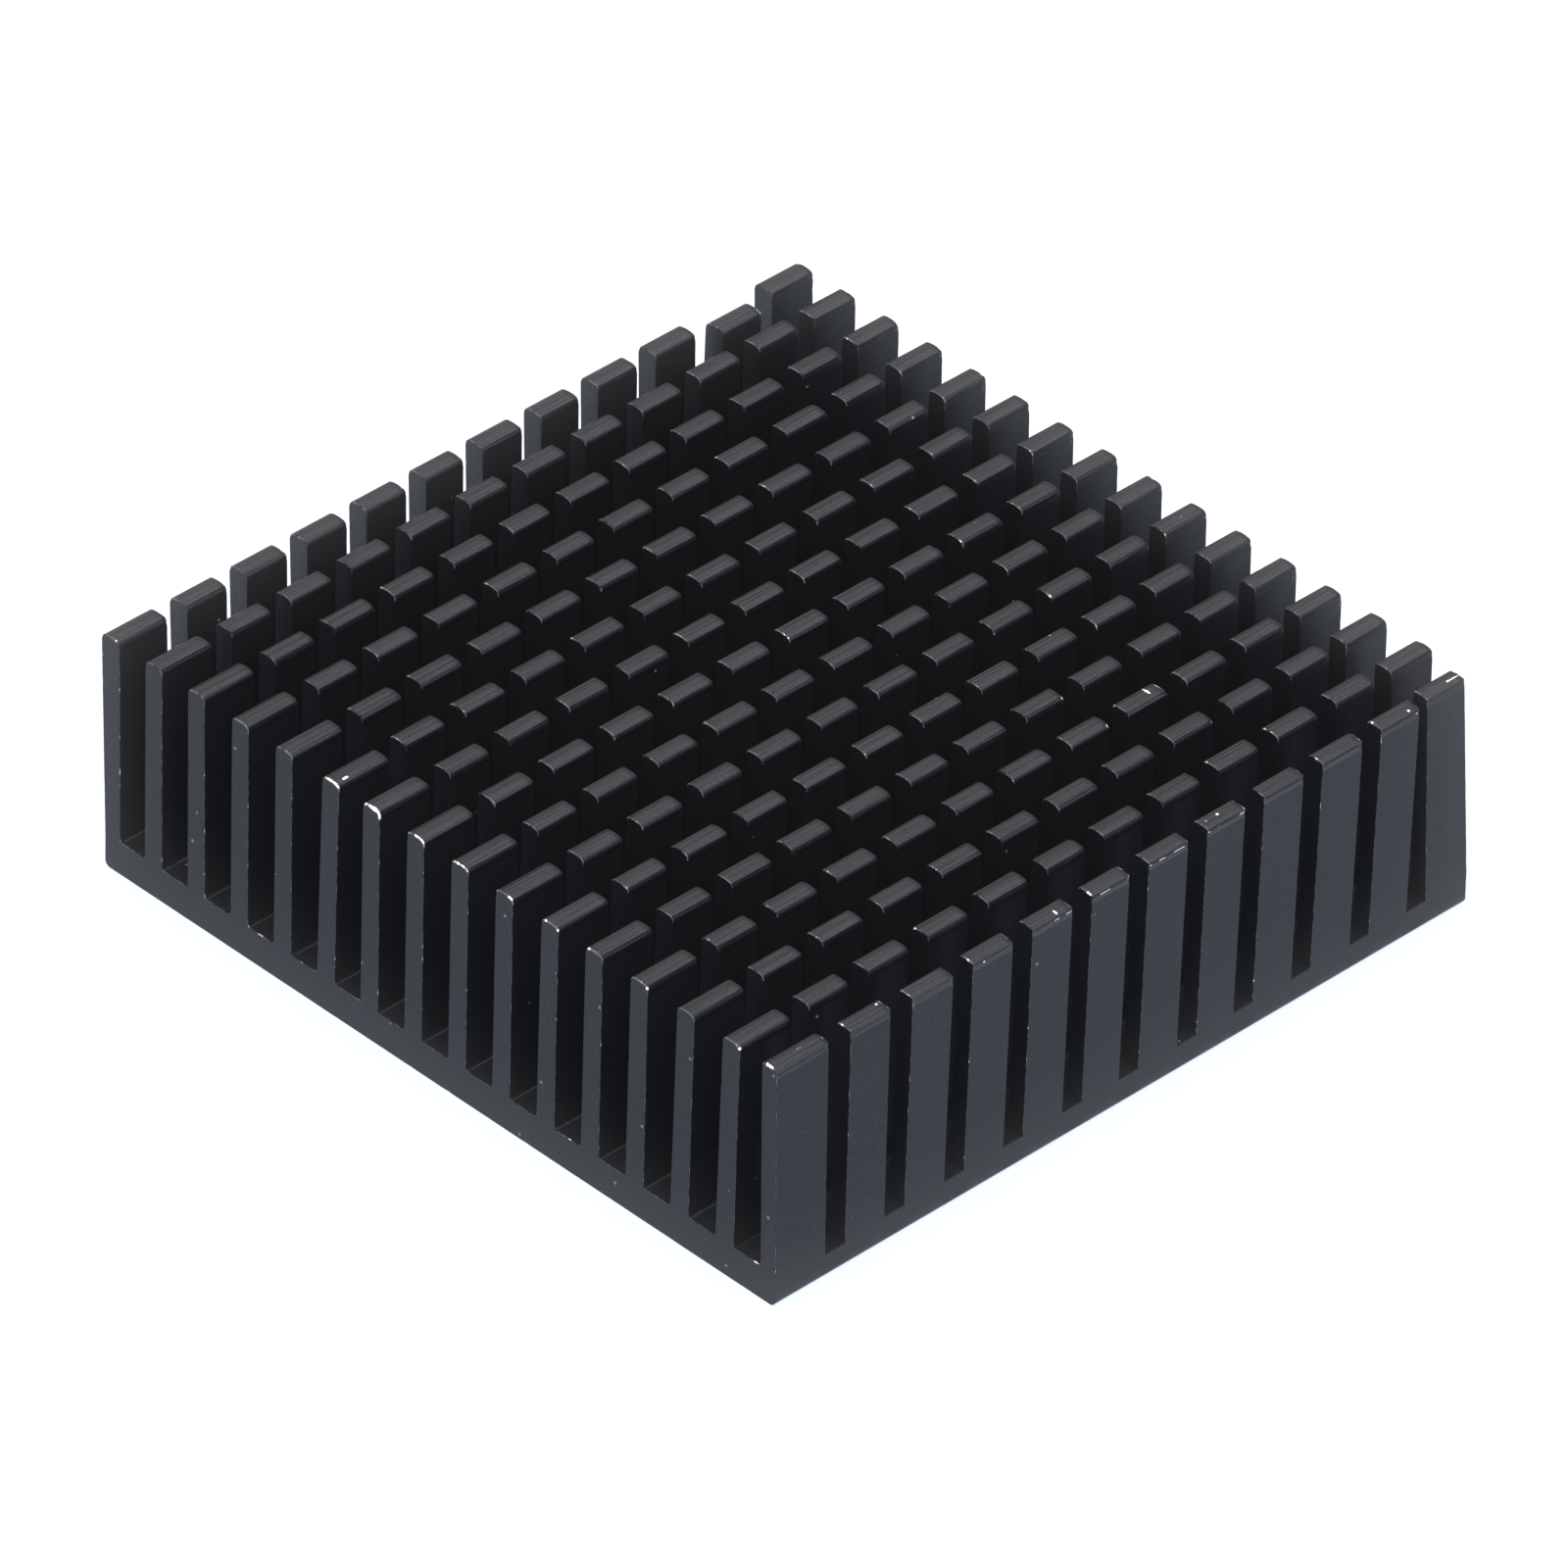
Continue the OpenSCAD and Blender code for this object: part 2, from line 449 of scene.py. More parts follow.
def stray_chip(point, pin):
    """Depth and bareness of the small chip that some inner tips have at their near front corner."""
    fin = math.floor((point[1] - SIDE_FIN_T - CHANNEL_W / 2) / (FIN_T + CHANNEL_W)) + 1
    if not 0 < fin < FINS or wobble((pin * 1.7, fin * 2.3, 0.4), 1.0, STRAY_SEED) < STRAY_RARITY:
        return 0.0, 0.0
    swing = STRAY_SPREAD * wobble((fin, pin, 0.7), 1.3, STRAY_PLACE_SEED)
    place = fin_walls(fin)[0] + STRAY_PLACE + swing
    share = max(0.0, 1 - ((point[1] - place) / STRAY_REACH) ** 2)
    return STRAY_DEPTH * share, BARE_RATE * STRAY_DEPTH * share


def edge_break(point, pin, side):
    """Width of the broken edge at a point of a sawn face, and how much bare metal it shows."""
    at_end = (pin, side) in (NEAR_END, FAR_END)
    plain, nibble = (END_BREAK, END_NIBBLE) if at_end else (CUT_BREAK, CUT_NIBBLE)
    plain *= 1 + BREAK_SWING * wobble(point, BREAK_WAVES, BREAK_SEED)
    bite = nibble * max(0.0, wobble(point, NIBBLE_WAVES, NIBBLE_SEED) - NIBBLE_START)
    bite *= 1 + RAGGED_SWING * wobble(point, RAGGED_WAVES, RAGGED_SEED)
    if point[2] < TIP_EDGE:
        plain, bite = plain * UPRIGHT_SHARE, bite * UPRIGHT_SHARE
    if not at_end:
        fade = (point[2] - CUT_FLOOR) / (BASE_T - CUT_FLOOR)
        plain, bite = [min(1.0, max(0.0, fade)) * v for v in (plain, bite)]
    chip, bare = chip_at(point, pin, side)
    scuff = 0.0
    if side == 0 and point[2] > TIP_EDGE:
        scuff = TIP_SCUFF + SCUFF_SPREAD * wobble(point, SCUFF_WAVES, SCUFF_SEED)
    elif at_end or point[1] < SIDE_FIN_T or point[1] > WIDTH - SIDE_FIN_T:
        scuff = SHOWN_SCUFF + SHOWN_SPREAD * wobble(point, SHOWN_WAVES, SCUFF_SEED)
    return plain + bite + chip, min(1.0, max(scuff, bare))


class Shell:
    """Vertices in millimetres with their wear, and faces with the finish that they carry."""

    def __init__(self):
        self.points = []
        self.wear = []
        self.faces = []
        self.sawn = []
        self.worn = []

    def add(self, point, wear=0.0):
        """Adds a vertex and returns its index."""
        self.points.append(tuple(point))
        self.wear.append(wear)
        return len(self.points) - 1

    def face(self, loop, sawn=False, worn=False):
        self.faces.append(loop)
        self.sawn.append(sawn)
        self.worn.append(worn)

    def strip(self, first, second, worn=False):
        """Joins two rows that have as many points."""
        for i in range(len(first) - 1):
            self.face([first[i], first[i + 1], second[i + 1], second[i]], worn=worn)

    def grid(self, rows):
        for first, second in zip(rows, rows[1:]):
            self.strip(first, second)

    def step_down(self, fine, coarse):
        """Joins a fine row to a row that has every FINE-th point of it."""
        for i in range(len(coarse) - 1):
            self.face([*fine[i * FINE:(i + 1) * FINE + 1], coarse[i + 1], coarse[i]])


def lean(fin, pin):
    """How far the tip of a pin leans along X and Y."""
    sway = tuple(PIN_SWAY * wobble((pin, fin, 0.5), SWAY_WAVES, seed) for seed in SWAY_SEEDS)
    return BENT.get((fin, pin), sway)


def bend(point, tip_lean):
    """A point of a pin after the pin is bent from its root."""
    x, y, z = point
    share = rise(z)
    drop = math.hypot(*tip_lean) ** 2 / (2 * (HEIGHT - BASE_T))
    return x + tip_lean[0] * share, y + tip_lean[1] * share, z - drop * share


def run_section(shell, section, pin, fin, count, tip_lean, fine):
    """Runs a stretch of the section along one pin, with a broken edge at both sawn faces; returns its rows.

    fine says for the near and the far face whether its edge has all the section's points."""
    inward = inward_normals(section)
    coarse = range(0, len(section), FINE)
    edges = []
    for side in (0, 1):
        rim, ledge = [], []
        inwards = 1 if side == 0 else -1
        for i in range(len(section)) if fine[side] else coarse:
            (y, z), (ny, nz) = section[i], inward[i]
            x = face_x(pin, side, fin, z)
            width, wear = edge_break((x, y, z), pin, side)
            slant = FAR_TIP_SLANT if side == 1 and z > TIP_EDGE else BREAK_SLANT
            rim.append(shell.add(bend((x, y + ny * width, z + nz * width), tip_lean), wear))
            ledge.append(shell.add(bend((x + inwards * slant * width, y, z), tip_lean), wear))
        shell.strip(rim, ledge, worn=True)
        edges.append((rim, ledge))
    rows = []
    for t in np.linspace(0, 1, count):
        row = []
        for i in coarse:
            y, z = section[i]
            near, far = [face_x(pin, side, fin, z) for side in (0, 1)]
            x = near + EDGE_ROOM + t * (far - near - 2 * EDGE_ROOM)
            row.append(shell.add(bend((x, y, z), tip_lean)))
        rows.append(row)
    shell.grid(rows)
    for (rim, ledge), row, is_fine in zip(edges, (rows[0], rows[-1]), fine):
        if is_fine:
            shell.step_down(ledge, row)
        else:
            shell.strip(ledge, row)
    return [*edges[0], *rows, *reversed(edges[1])]


def skirt_section(right):
    """The base's outer side and lower round, from the underside up on the left and down on the right."""
    round_steps, side_steps = SKIRT_STEPS
    points = arc((BASE_R, BASE_R), BASE_R, 270, 180, round_steps * FINE)
    points += [(0.0, z) for z in np.linspace(BASE_R, SKIRT_TOP, side_steps * FINE + 1)[1:]]
    if right:
        return np.array([(WIDTH - y, z) for y, z in reversed(points)])
    return np.array(points)


def add_pins(shell):
    """All the pins with their sawn ends.

    Returns each pin's rows and the root indexes of its two sawn faces."""
    pins = {}
    for pin in range(PINS):
        at_end = pin in (0, PINS - 1)
        for fin in range(FINS):
            at_side = fin in (0, FINS - 1)
            detailed = at_end or at_side
            walls = [WALL_STEPS if at_end or fin == side else COARSE_WALL for side in (0, FINS - 1)]
            section, *roots = fin_profile(fin, walls, *(SHOWN_TIP if detailed else INNER_TIP))
            fine = (at_side or pin == 0, at_side or pin == PINS - 1)
            count = SHOWN_ROWS if detailed else INNER_ROWS
            rows = run_section(shell, section, pin, fin, count, lean(fin, pin), fine)
            ends = []
            for row, is_fine in ((rows[0], fine[0]), (rows[-1], fine[1])):
                left, right = roots if is_fine else [i // FINE for i in roots]
                shell.face(row[left:right + 1], sawn=True)
                ends.append((left, right))
            pins[fin, pin] = rows, ends
    return pins


def floor_edge(shell, pin, side, fin, start, end, steps):
    """Extra points along a channel floor's sawn edge, as an outer and an inner line."""
    outer, inner = [], []
    x = face_x(pin, side, fin, BASE_T)
    inwards = 1 if side == 0 else -1
    for y in np.linspace(start, end, steps + 1)[1:-1]:
        width, wear = edge_break((x, y, BASE_T), pin, side)
        outer.append(shell.add((x, y, BASE_T - width), wear))
        inner.append(shell.add((x + inwards * BREAK_SLANT * width, y, BASE_T), wear))
    return outer, inner


def add_floors(shell, pins):
    """The channel floors between the pins; returns the points on the floors' sawn edges."""
    edges = {}
    for pin in range(PINS):
        for fin in range(CHANNELS):
            before = [row[-1] for row in pins[fin, pin][0]]
            after = [row[0] for row in pins[fin + 1, pin][0]]
            start = fin_walls(fin)[1] + ROOT_R
            end = fin_walls(fin + 1)[0] - ROOT_R
            lines = []
            for side in (0, 1):
                steps = FLOOR_STEPS if (pin, side) in (NEAR_END, FAR_END) else 1
                outer, inner = floor_edge(shell, pin, side, fin, start, end, steps)
                rim, ledge = (0, 1) if side == 0 else (-1, -2)
                outer_line = [before[rim], *outer, after[rim]]
                inner_line = [before[ledge], *inner, after[ledge]]
                shell.strip(outer_line, inner_line, worn=True)
                edges[fin, pin, side] = outer
                lines.append(inner)
            shell.face([*before[1:-1], *lines[1], *reversed(after[1:-1]), *reversed(lines[0])])
    return edges


def add_bands(shell, pins, edges, skirts, bottoms):
    """The sawn faces under the pins' roots, down to the saw cuts' floors, or to the underside at the ends."""
    for pin in range(PINS):
        for side in (0, 1):
            at_end = (pin, side) in (NEAR_END, FAR_END)
            rim = 0 if side == 0 else -1
            cut = pin - 1 if side == 0 else pin
            first = 0 if at_end else FINE * SIDE_LEVELS.index(cut_floor(cut))
            loop = []
            for fin in range(FINS):
                rows, ends = pins[fin, pin]
                row = rows[rim]
                left, right = ends[side]
                if fin == 0:
                    loop += row[first:left]
                loop += [row[left], row[right]]
                if fin == FINS - 1:
                    loop += row[right + 1:len(row) - first]
                else:
                    loop += edges[fin, pin, side]
            if at_end:
                loop += skirts[pin, "right"][rim][1:]
                loop += reversed(bottoms[side])
                loop += skirts[pin, "left"][rim][:-1]
            shell.face(loop, sawn=True)


def add_skirts(shell):
    """The base's two long sides and lower rounds beside each pin; returns their rows."""
    skirts = {}
    for pin in range(PINS):
        for name, fin in (("left", 0), ("right", FINS - 1)):
            section = skirt_section(name == "right")
            skirts[pin, name] = run_section(
                shell, section, pin, fin, SHOWN_ROWS, tip_lean=(0.0, 0.0), fine=(True, True))
    return skirts


def trench_side(shell, cut, name):
    """The base's side below one saw cut, up to the broken edge of its floor, as columns of points."""
    fin, face_y, inwards = (0, 0.0, 1) if name == "left" else (FINS - 1, WIDTH, -1)
    floor = cut_floor(cut)
    section = skirt_section(name == "right")
    if name == "right":
        section = section[::-1]
    levels = [z for z in side_heights() if SKIRT_TOP < z < floor]
    stations = np.linspace(face_x(cut, 1, fin, 0), face_x(cut + 1, 0, fin, 0), TRENCH_STEPS + 1)
    columns = []
    for i, x in enumerate(stations):
        chip = CUT_BREAK if 0 < i < TRENCH_STEPS else 0.0
        wear = SHOWN_SCUFF + SCUFF_SPREAD * wobble((x, face_y, floor), SCUFF_WAVES, SCUFF_SEED)
        column = [shell.add((x, y, z)) for y, z in section]
        squeeze = 1 - chip / (floor - SKIRT_TOP)
        column += [shell.add((x, face_y, SKIRT_TOP + squeeze * (z - SKIRT_TOP))) for z in levels]
        column.append(shell.add((x, face_y, floor - chip), wear))
        column.append(shell.add((x, face_y + inwards * chip, floor), wear))
        columns.append(column)
    return columns


def add_trenches(shell, skirts):
    """Each saw cut's floor and the base's sides below it.

    Returns the underside's points along both sides."""
    lines = {"left": [], "right": []}
    for pin in range(PINS):
        for name in lines:
            foot = 0 if name == "left" else -1
            lines[name].append([row[foot] for row in skirts[pin, name]])
    for cut in range(CUTS):
        rims = []
        for name in lines:
            columns = trench_side(shell, cut, name)
            shell.grid(columns)
            rims.append([column[-1] for column in columns])
            lines[name].append([column[0] for column in columns])
        shell.face([*rims[0], *reversed(rims[1])], sawn=True)
    return lines


def add_bottom_edges(shell):
    """The underside's two sawn edges: an outer line on the sawn face, an inner one on the underside."""
    outers, inners = [], []
    for (pin, side), inwards in ((NEAR_END, 1), (FAR_END, -1)):
        x = face_x(pin, side, 0, 0)
        outer, inner = [], []
        for y in np.linspace(BASE_R, WIDTH - BASE_R, BOTTOM_POINTS)[1:-1]:
            width, wear = edge_break((x, y, 0.0), pin, side)
            outer.append(shell.add((x, y, width), wear))
            inner.append(shell.add((x + inwards * BREAK_SLANT * width, y, 0.0), wear))
        outers.append(outer)
        inners.append(inner)
    return outers, inners


def ordered(shell, lines):
    """Joins stretches of points along X into one line, without the points that meet."""
    indexes = sorted((i for line in lines for i in line), key=lambda i: shell.points[i][0])
    joined = [indexes[0]]
    for i in indexes[1:]:
        if math.dist(shell.points[i], shell.points[joined[-1]]) > MEET:
            joined.append(i)
    return joined


def add_underside(shell, lines, skirts, outers, inners):
    """The flat underside, and the broken edges between it and the two sawn ends."""
    for pin, side, rim, ledge in ((0, 0, 0, 1), (PINS - 1, 1, -1, -2)):
        left = skirts[pin, "left"]
        right = skirts[pin, "right"]
        outer = [left[rim][0], *outers[side], right[rim][-1]]
        shell.strip(outer, [left[ledge][0], *inners[side], right[ledge][-1]], worn=True)
    first_rim = {"left": skirts[0, "left"][0][0], "right": skirts[0, "right"][0][-1]}
    last_rim = {"left": skirts[PINS - 1, "left"][-1][0], "right": skirts[PINS - 1, "right"][-1][-1]}
    sides = {}
    for name in lines:
        rims = (first_rim[name], last_rim[name])
        sides[name] = ordered(shell, [[i for i in line if i not in rims] for line in lines[name]])
    shell.face([*sides["left"], *inners[1], *reversed(sides["right"]), *reversed(inners[0])])


def build_shell():
    """The whole part as one shell, sub-part by sub-part."""
    shell = Shell()
    pins = add_pins(shell)
    edges = add_floors(shell, pins)
    skirts = add_skirts(shell)
    outers, inners = add_bottom_edges(shell)
    add_bands(shell, pins, edges, skirts, outers)
    lines = add_trenches(shell, skirts)
    add_underside(shell, lines, skirts, outers, inners)
    return shell


def make_mesh(shell, name):
    """Welds the shell into one closed mesh, with its wear and its sawn faces as attributes."""
    offset = Vector((LENGTH / 2, WIDTH / 2, 0))
    work = bmesh.new()
    wear_layer = work.verts.layers.float.new("vertex_wear")
    sawn_layer = work.faces.layers.int.new("sawn_face")
    worn_layer = work.faces.layers.int.new("worn_face")
    verts = []
    for point, wear in zip(shell.points, shell.wear):
        vert = work.verts.new((Vector(point) - offset) * MM)
        vert[wear_layer] = max(0.0, wear)
        verts.append(vert)
    for loop, sawn, worn in zip(shell.faces, shell.sawn, shell.worn):
        face = work.faces.new([verts[i] for i in loop])
        face[sawn_layer] = int(sawn)
        face[worn_layer] = int(worn)
        face.smooth = True
    bmesh.ops.remove_doubles(work, verts=work.verts, dist=WELD * MM)
    bmesh.ops.dissolve_degenerate(work, edges=work.edges, dist=WELD * MM)
    bmesh.ops.recalc_face_normals(work, faces=work.faces)
    wear_out = work.loops.layers.float.new("wear")
    sawn_out = work.loops.layers.float.new("sawn")
    for face in work.faces:
        for corner in face.loops:
            corner[wear_out] = corner.vert[wear_layer] if face[worn_layer] else 0.0
            corner[sawn_out] = float(face[sawn_layer])
    mesh = bpy.data.meshes.new(name)
    work.to_mesh(mesh)
    work.free()
    mesh.set_sharp_from_angle(angle=SHARP_ANGLE)
    return mesh


class Nodes:
    """Short calls for a material's node tree."""

    def __init__(self, material):
        material.use_nodes = True
        self.tree = material.node_tree
        self.shader = self.tree.nodes["Principled BSDF"]

    def add(self, kind, inputs=None, **settings):
        """Adds a node, with values or links for its inputs."""
        node = self.tree.nodes.new(kind)
        for key, value in settings.items():
            setattr(node, key, value)
        for key, value in (inputs or {}).items():
            self.put(value, node.inputs[key])
        return node

    def put(self, value, socket):
        """Links an output to a socket, or sets a value on it."""
        if isinstance(value, bpy.types.NodeSocket):
            self.tree.links.new(value, socket)
        else:
            socket.default_value = value

    def math(self, operation, a, b=0.0, c=0.0):
        node = self.add("ShaderNodeMath", {0: a, 1: b, 2: c}, operation=operation)
        return node.outputs[0]

    def band(self, value, start, end, low_out=0.0, high_out=1.0):
        """Smooth step of a value between two limits."""
        inputs = {"Value": value, "From Min": start, "From Max": end, "To Min": low_out, "To Max": high_out}
        node = self.add("ShaderNodeMapRange", inputs, interpolation_type="SMOOTHSTEP")
        return node.outputs["Result"]

    def noise(self, vector, scale, detail=2.0, rough=0.5):
        inputs = {"Vector": vector, "Scale": scale, "Detail": detail, "Roughness": rough}
        return self.add("ShaderNodeTexNoise", inputs).outputs["Fac"]

    def mix(self, factor, a, b):
        node = self.add("ShaderNodeMix", data_type="FLOAT")
        for value, key in ((factor, "Factor"), (a, "A"), (b, "B")):
            self.put(value, node.inputs[key])
        return node.outputs["Result"]

    def mix_colour(self, factor, a, b):
        node = self.add("ShaderNodeMix", data_type="RGBA")
        sockets = [s for s in node.inputs if s.type in ("VALUE", "RGBA") and s.enabled]
        for value, socket in zip((factor, a, b), sockets):
            self.put(value, socket)
        return [s for s in node.outputs if s.type == "RGBA"][0]


# Where a rubbed spot fades in, as shares of its half size
SPOT_FADE = (1.2, 0.7)

# Colours: the two ends of the black, dust, scuffed anodising, bare metal and the tint of the black's shine
BLACK = ((0.0025, 0.0032, 0.0042, 1), (0.0048, 0.0055, 0.0068, 1))
DUST = (0.3, 0.32, 0.33, 1)
SCUFFED = (0.16, 0.2, 0.22, 1)
BARE_METAL = (0.9, 0.9, 0.91, 1)
SHINE_TINT = (0.64, 0.83, 1.0, 1)

# Textures, in waves a millimetre: grain and clouds of the black, die lines (far longer along the fins), and
# saw marks, which are bowed about the height of the saw's middle
GRAIN_WAVES = 9.0
CLOUD_WAVES = 0.35
DIE_WAVES = (0.06, 4.5, 4.5)
SAW_WAVES = 5.0
SAW_MIDDLE = 14.0
SAW_BOW = 0.02

# Dust specks: cells a millimetre, the pick from which a cell has one, the largest radius in cells, and how
# much of the black they cover
SPECK_CELLS = 0.9
SPECK_PICK = 0.72
SPECK_RADIUS = 0.075
DUST_COVER = 0.35

# Torn edges of the bare metal: waves a millimetre and how far they reach, the wear between which the metal
# turns bare, and the wear between which the black turns scuffed and by how much
TEAR_WAVES = 7.0
TEAR_REACH = 0.55
BARE_FROM = (0.45, 0.65)
SCUFF_FROM = (0.1, 0.45)
SCUFF_COVER = 0.4

# Dots of the rubbed line: waves a millimetre, the noise between which a dot fades in, and how bare it is
DOT_WAVES = 2.2
DOT_FADE = (0.45, 0.6)
DOT_BARE = 0.9

# Roughness: the least of the black, what grain and streaks add, and that of bare metal
SATIN_LEAST = 0.21
SATIN_GRAIN = 0.1
SATIN_STREAK = 0.08
BARE_ROUGH = 0.3

# Shine of the black: the least, and what the grain adds
SHINE_LEAST = 0.085
SHINE_GRAIN = 0.26

# Relief in millimetres, and the shares of it that the grain, the saw marks and the die lines have. The die
# lines are deeper on the tips, and change between two depths below them.
RELIEF = 0.012
GRAIN_DEPTH = 0.8
SAW_DEPTH = 0.6
DIE_DEPTH = (0.3, 8.5)
DIE_CHANGE = (0.5, 0.2)


def spot(n, place, middle, half_size):
    """1 inside an ellipsoid and 0 outside, with a soft edge."""
    scale = [1 / size for size in half_size]
    offset = [-(m - c) * k for m, c, k in zip(middle, (LENGTH / 2, WIDTH / 2, 0), scale)]
    local = n.add("ShaderNodeMapping", {"Vector": place, "Location": offset, "Scale": scale})
    reach = n.add("ShaderNodeVectorMath", {0: local.outputs["Vector"]}, operation="LENGTH")
    return n.band(reach.outputs["Value"], *SPOT_FADE)


def rubbed_line(n, axes, streak):
    """The dotted line along the right face where the black is rubbed off."""
    off_line = n.math("ABSOLUTE", n.math("SUBTRACT", axes.outputs["Z"], RUBBED_LINE_Z))
    z_band = n.band(off_line, RUBBED_LINE_HALF, 0.0)
    near, far = [x - LENGTH / 2 for x in RUBBED_LINE_X]
    middle, half = (near + far) / 2, (far - near) / 2
    x_band = n.math("LESS_THAN", n.math("ABSOLUTE", n.math("SUBTRACT", axes.outputs["X"], middle)), half)
    outside = n.math("LESS_THAN", axes.outputs["Y"], SIDE_TIP_R - WIDTH / 2)
    return n.math("MULTIPLY", n.math("MULTIPLY", z_band, streak), n.math("MULTIPLY", x_band, outside))


def painted_shade_wall(n, axes, sawn):
    """Painted shade: the share of shine left on the right wall of the second fin, which darkens it, and 1
    elsewhere.
    """
    wall_y = fin_walls(1)[0] - WIDTH / 2
    off_wall = n.math("ABSOLUTE", n.math("SUBTRACT", axes.outputs["Y"], wall_y))
    below_tip = n.band(axes.outputs["Z"], *[HEIGHT - depth for depth in PAINTED_SHADE_TOP])
    on_wall = n.math("MULTIPLY", n.band(off_wall, *PAINTED_SHADE_REACH), below_tip)
    painted_shade_mask = n.math("MULTIPLY", on_wall, n.math("SUBTRACT", 1.0, sawn))
    return n.math("MULTIPLY_ADD", painted_shade_mask, PAINTED_SHADE_SHINE - 1, 1.0)


def anodised_material():
    """Black anodised aluminium, with die lines, saw marks on the sawn faces, and bare metal where worn."""
    material = bpy.data.materials.new("black_anodised")
    n = Nodes(material)
    place = n.add("ShaderNodeTexCoord").outputs["Object"]
    per_mm = [1 / MM] * 3
    in_mm = n.add("ShaderNodeMapping", {"Vector": place, "Scale": per_mm}).outputs["Vector"]
    along = n.add("ShaderNodeMapping", {"Vector": in_mm, "Scale": DIE_WAVES}).outputs["Vector"]
    axes = n.add("ShaderNodeSeparateXYZ", {"Vector": in_mm})
    wear = n.add("ShaderNodeAttribute", attribute_name="wear").outputs["Fac"]
    sawn = n.add("ShaderNodeAttribute", attribute_name="sawn").outputs["Fac"]

    grain = n.noise(in_mm, GRAIN_WAVES, 3.0, 0.6)
    cloud = n.noise(in_mm, CLOUD_WAVES, 3.0, 0.55)
    die_lines = n.noise(along, 1.0, 3.0, 0.6)
    off_middle = n.math("SUBTRACT", axes.outputs["Z"], SAW_MIDDLE)
    bow = n.math("MULTIPLY", n.math("POWER", off_middle, 2.0), SAW_BOW)
    bowed_y = n.math("ADD", axes.outputs["Y"], bow)
    saw_place = n.add("ShaderNodeCombineXYZ", {"X": axes.outputs["X"], "Y": bowed_y})
    saw_marks = n.noise(saw_place.outputs["Vector"], SAW_WAVES, 2.0, 0.5)
    streak = n.mix(sawn, die_lines, saw_marks)

    speck_cells = n.add("ShaderNodeTexVoronoi", {"Vector": in_mm, "Scale": SPECK_CELLS})
    speck_pick = n.add("ShaderNodeSeparateColor", {"Color": speck_cells.outputs["Color"]})
    speck_size = n.math("MULTIPLY", n.band(speck_pick.outputs["Red"], SPECK_PICK, 1.0), SPECK_RADIUS)
    specks = n.math("LESS_THAN", speck_cells.outputs["Distance"], speck_size)

    dots = n.band(n.noise(in_mm, DOT_WAVES, 1.0), *DOT_FADE)
    marks = n.math("MULTIPLY", rubbed_line(n, axes, dots), DOT_BARE)
    for middle, half_size, level in MARKS:
        marks = n.math("MAXIMUM", marks, n.math("MULTIPLY", spot(n, in_mm, middle, half_size), level))
    tear = n.math("SUBTRACT", n.noise(in_mm, TEAR_WAVES, 2.0), 0.5)
    torn = n.math("MULTIPLY_ADD", tear, TEAR_REACH, n.math("MAXIMUM", wear, marks))
    bare = n.band(torn, *BARE_FROM)
    scuff = n.band(torn, *SCUFF_FROM, 0.0, SCUFF_COVER)

    tone = n.math("ADD", n.math("MULTIPLY", streak, 0.5), n.math("MULTIPLY", cloud, 0.5))
    black = n.mix_colour(tone, *BLACK)
    dusty = n.mix_colour(n.math("MULTIPLY", specks, DUST_COVER), black, DUST)
    worn = n.mix_colour(scuff, dusty, SCUFFED)
    n.put(n.mix_colour(bare, worn, BARE_METAL), n.shader.inputs["Base Color"])
    n.put(bare, n.shader.inputs["Metallic"])
    satin = n.math("ADD", n.math("MULTIPLY", grain, SATIN_GRAIN), n.math("MULTIPLY", streak, SATIN_STREAK))
    n.put(n.mix(bare, n.math("ADD", satin, SATIN_LEAST), BARE_ROUGH), n.shader.inputs["Roughness"])
    shine = n.math("MULTIPLY_ADD", grain, SHINE_GRAIN, SHINE_LEAST)
    # Painted shade: the shine is cut on the right wall of the second fin, which darkens that wall in the
    # first channel
    n.put(n.math("MULTIPLY", shine, painted_shade_wall(n, axes, sawn)), n.shader.inputs["Specular IOR Level"])
    n.put(SHINE_TINT, n.shader.inputs["Specular Tint"])

    die_depth = n.band(axes.outputs["Z"], *[HEIGHT - depth for depth in DIE_CHANGE], *DIE_DEPTH)
    die_relief = n.math("MULTIPLY", die_lines, die_depth)
    drawn = n.mix(sawn, die_relief, n.math("MULTIPLY", saw_marks, SAW_DEPTH))
    relief = n.math("MULTIPLY_ADD", grain, GRAIN_DEPTH, drawn)
    bump = n.add("ShaderNodeBump", {"Height": relief, "Distance": RELIEF * MM, "Strength": 1.0})
    n.put(bump.outputs["Normal"], n.shader.inputs["Normal"])
    return material


def add_heat_sink():
    """The dressed heat sink, in place of the plain solid."""
    piece = bpy.data.objects.new("heat_sink_body", make_mesh(build_shell(), "heat_sink_body"))
    bpy.context.scene.collection.objects.link(piece)
    piece.data.materials.append(anodised_material())
    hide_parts(NODE)
    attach(piece, "root")


# Light of the tent below and above the soft edge of its roof, where that edge lies, as sines of the height,
# and its colour
TENT_WALL = 0.65
TENT_ROOF = 5.0
ROOF_EDGE = (0.485, 0.765)
TENT_COLOUR = (1.0, 0.855, 0.81)

# Lamp overhead: size and height in metres, and power
LAMP_SIZE = 1.2
LAMP_HEIGHT = 0.75
LAMP_POWER = 1.0

# Floor: half its side in metres, its colour and its light
FLOOR_HALF = 3.0
FLOOR_COLOUR = (0.12, 0.12, 0.12, 1)
FLOOR_ROUGH = 0.9
FLOOR_LIGHT = (0.72, 0.83, 0.97, 1)

# The part's own shade on the floor behind it, which the photo's plain background hides: its corners and
# height in millimetres from the part's middle, and its share of the floor's light at the part and farther off
SHADE = [(20.3, -20.0), (33.0, -25.0), (33.0, 25.0), (20.3, 25.0)]
SHADE_LIFT = 0.05
SHADE_LIGHT = (0.0, 0.6)

# Veil of the lens: its reach as a share of the picture, its share of the light, and its even part
VEIL_REACH = 0.077
VEIL_SHARE = 0.042
VEIL_FLAT = (0.0036, 0.0038, 0.0045, 1)


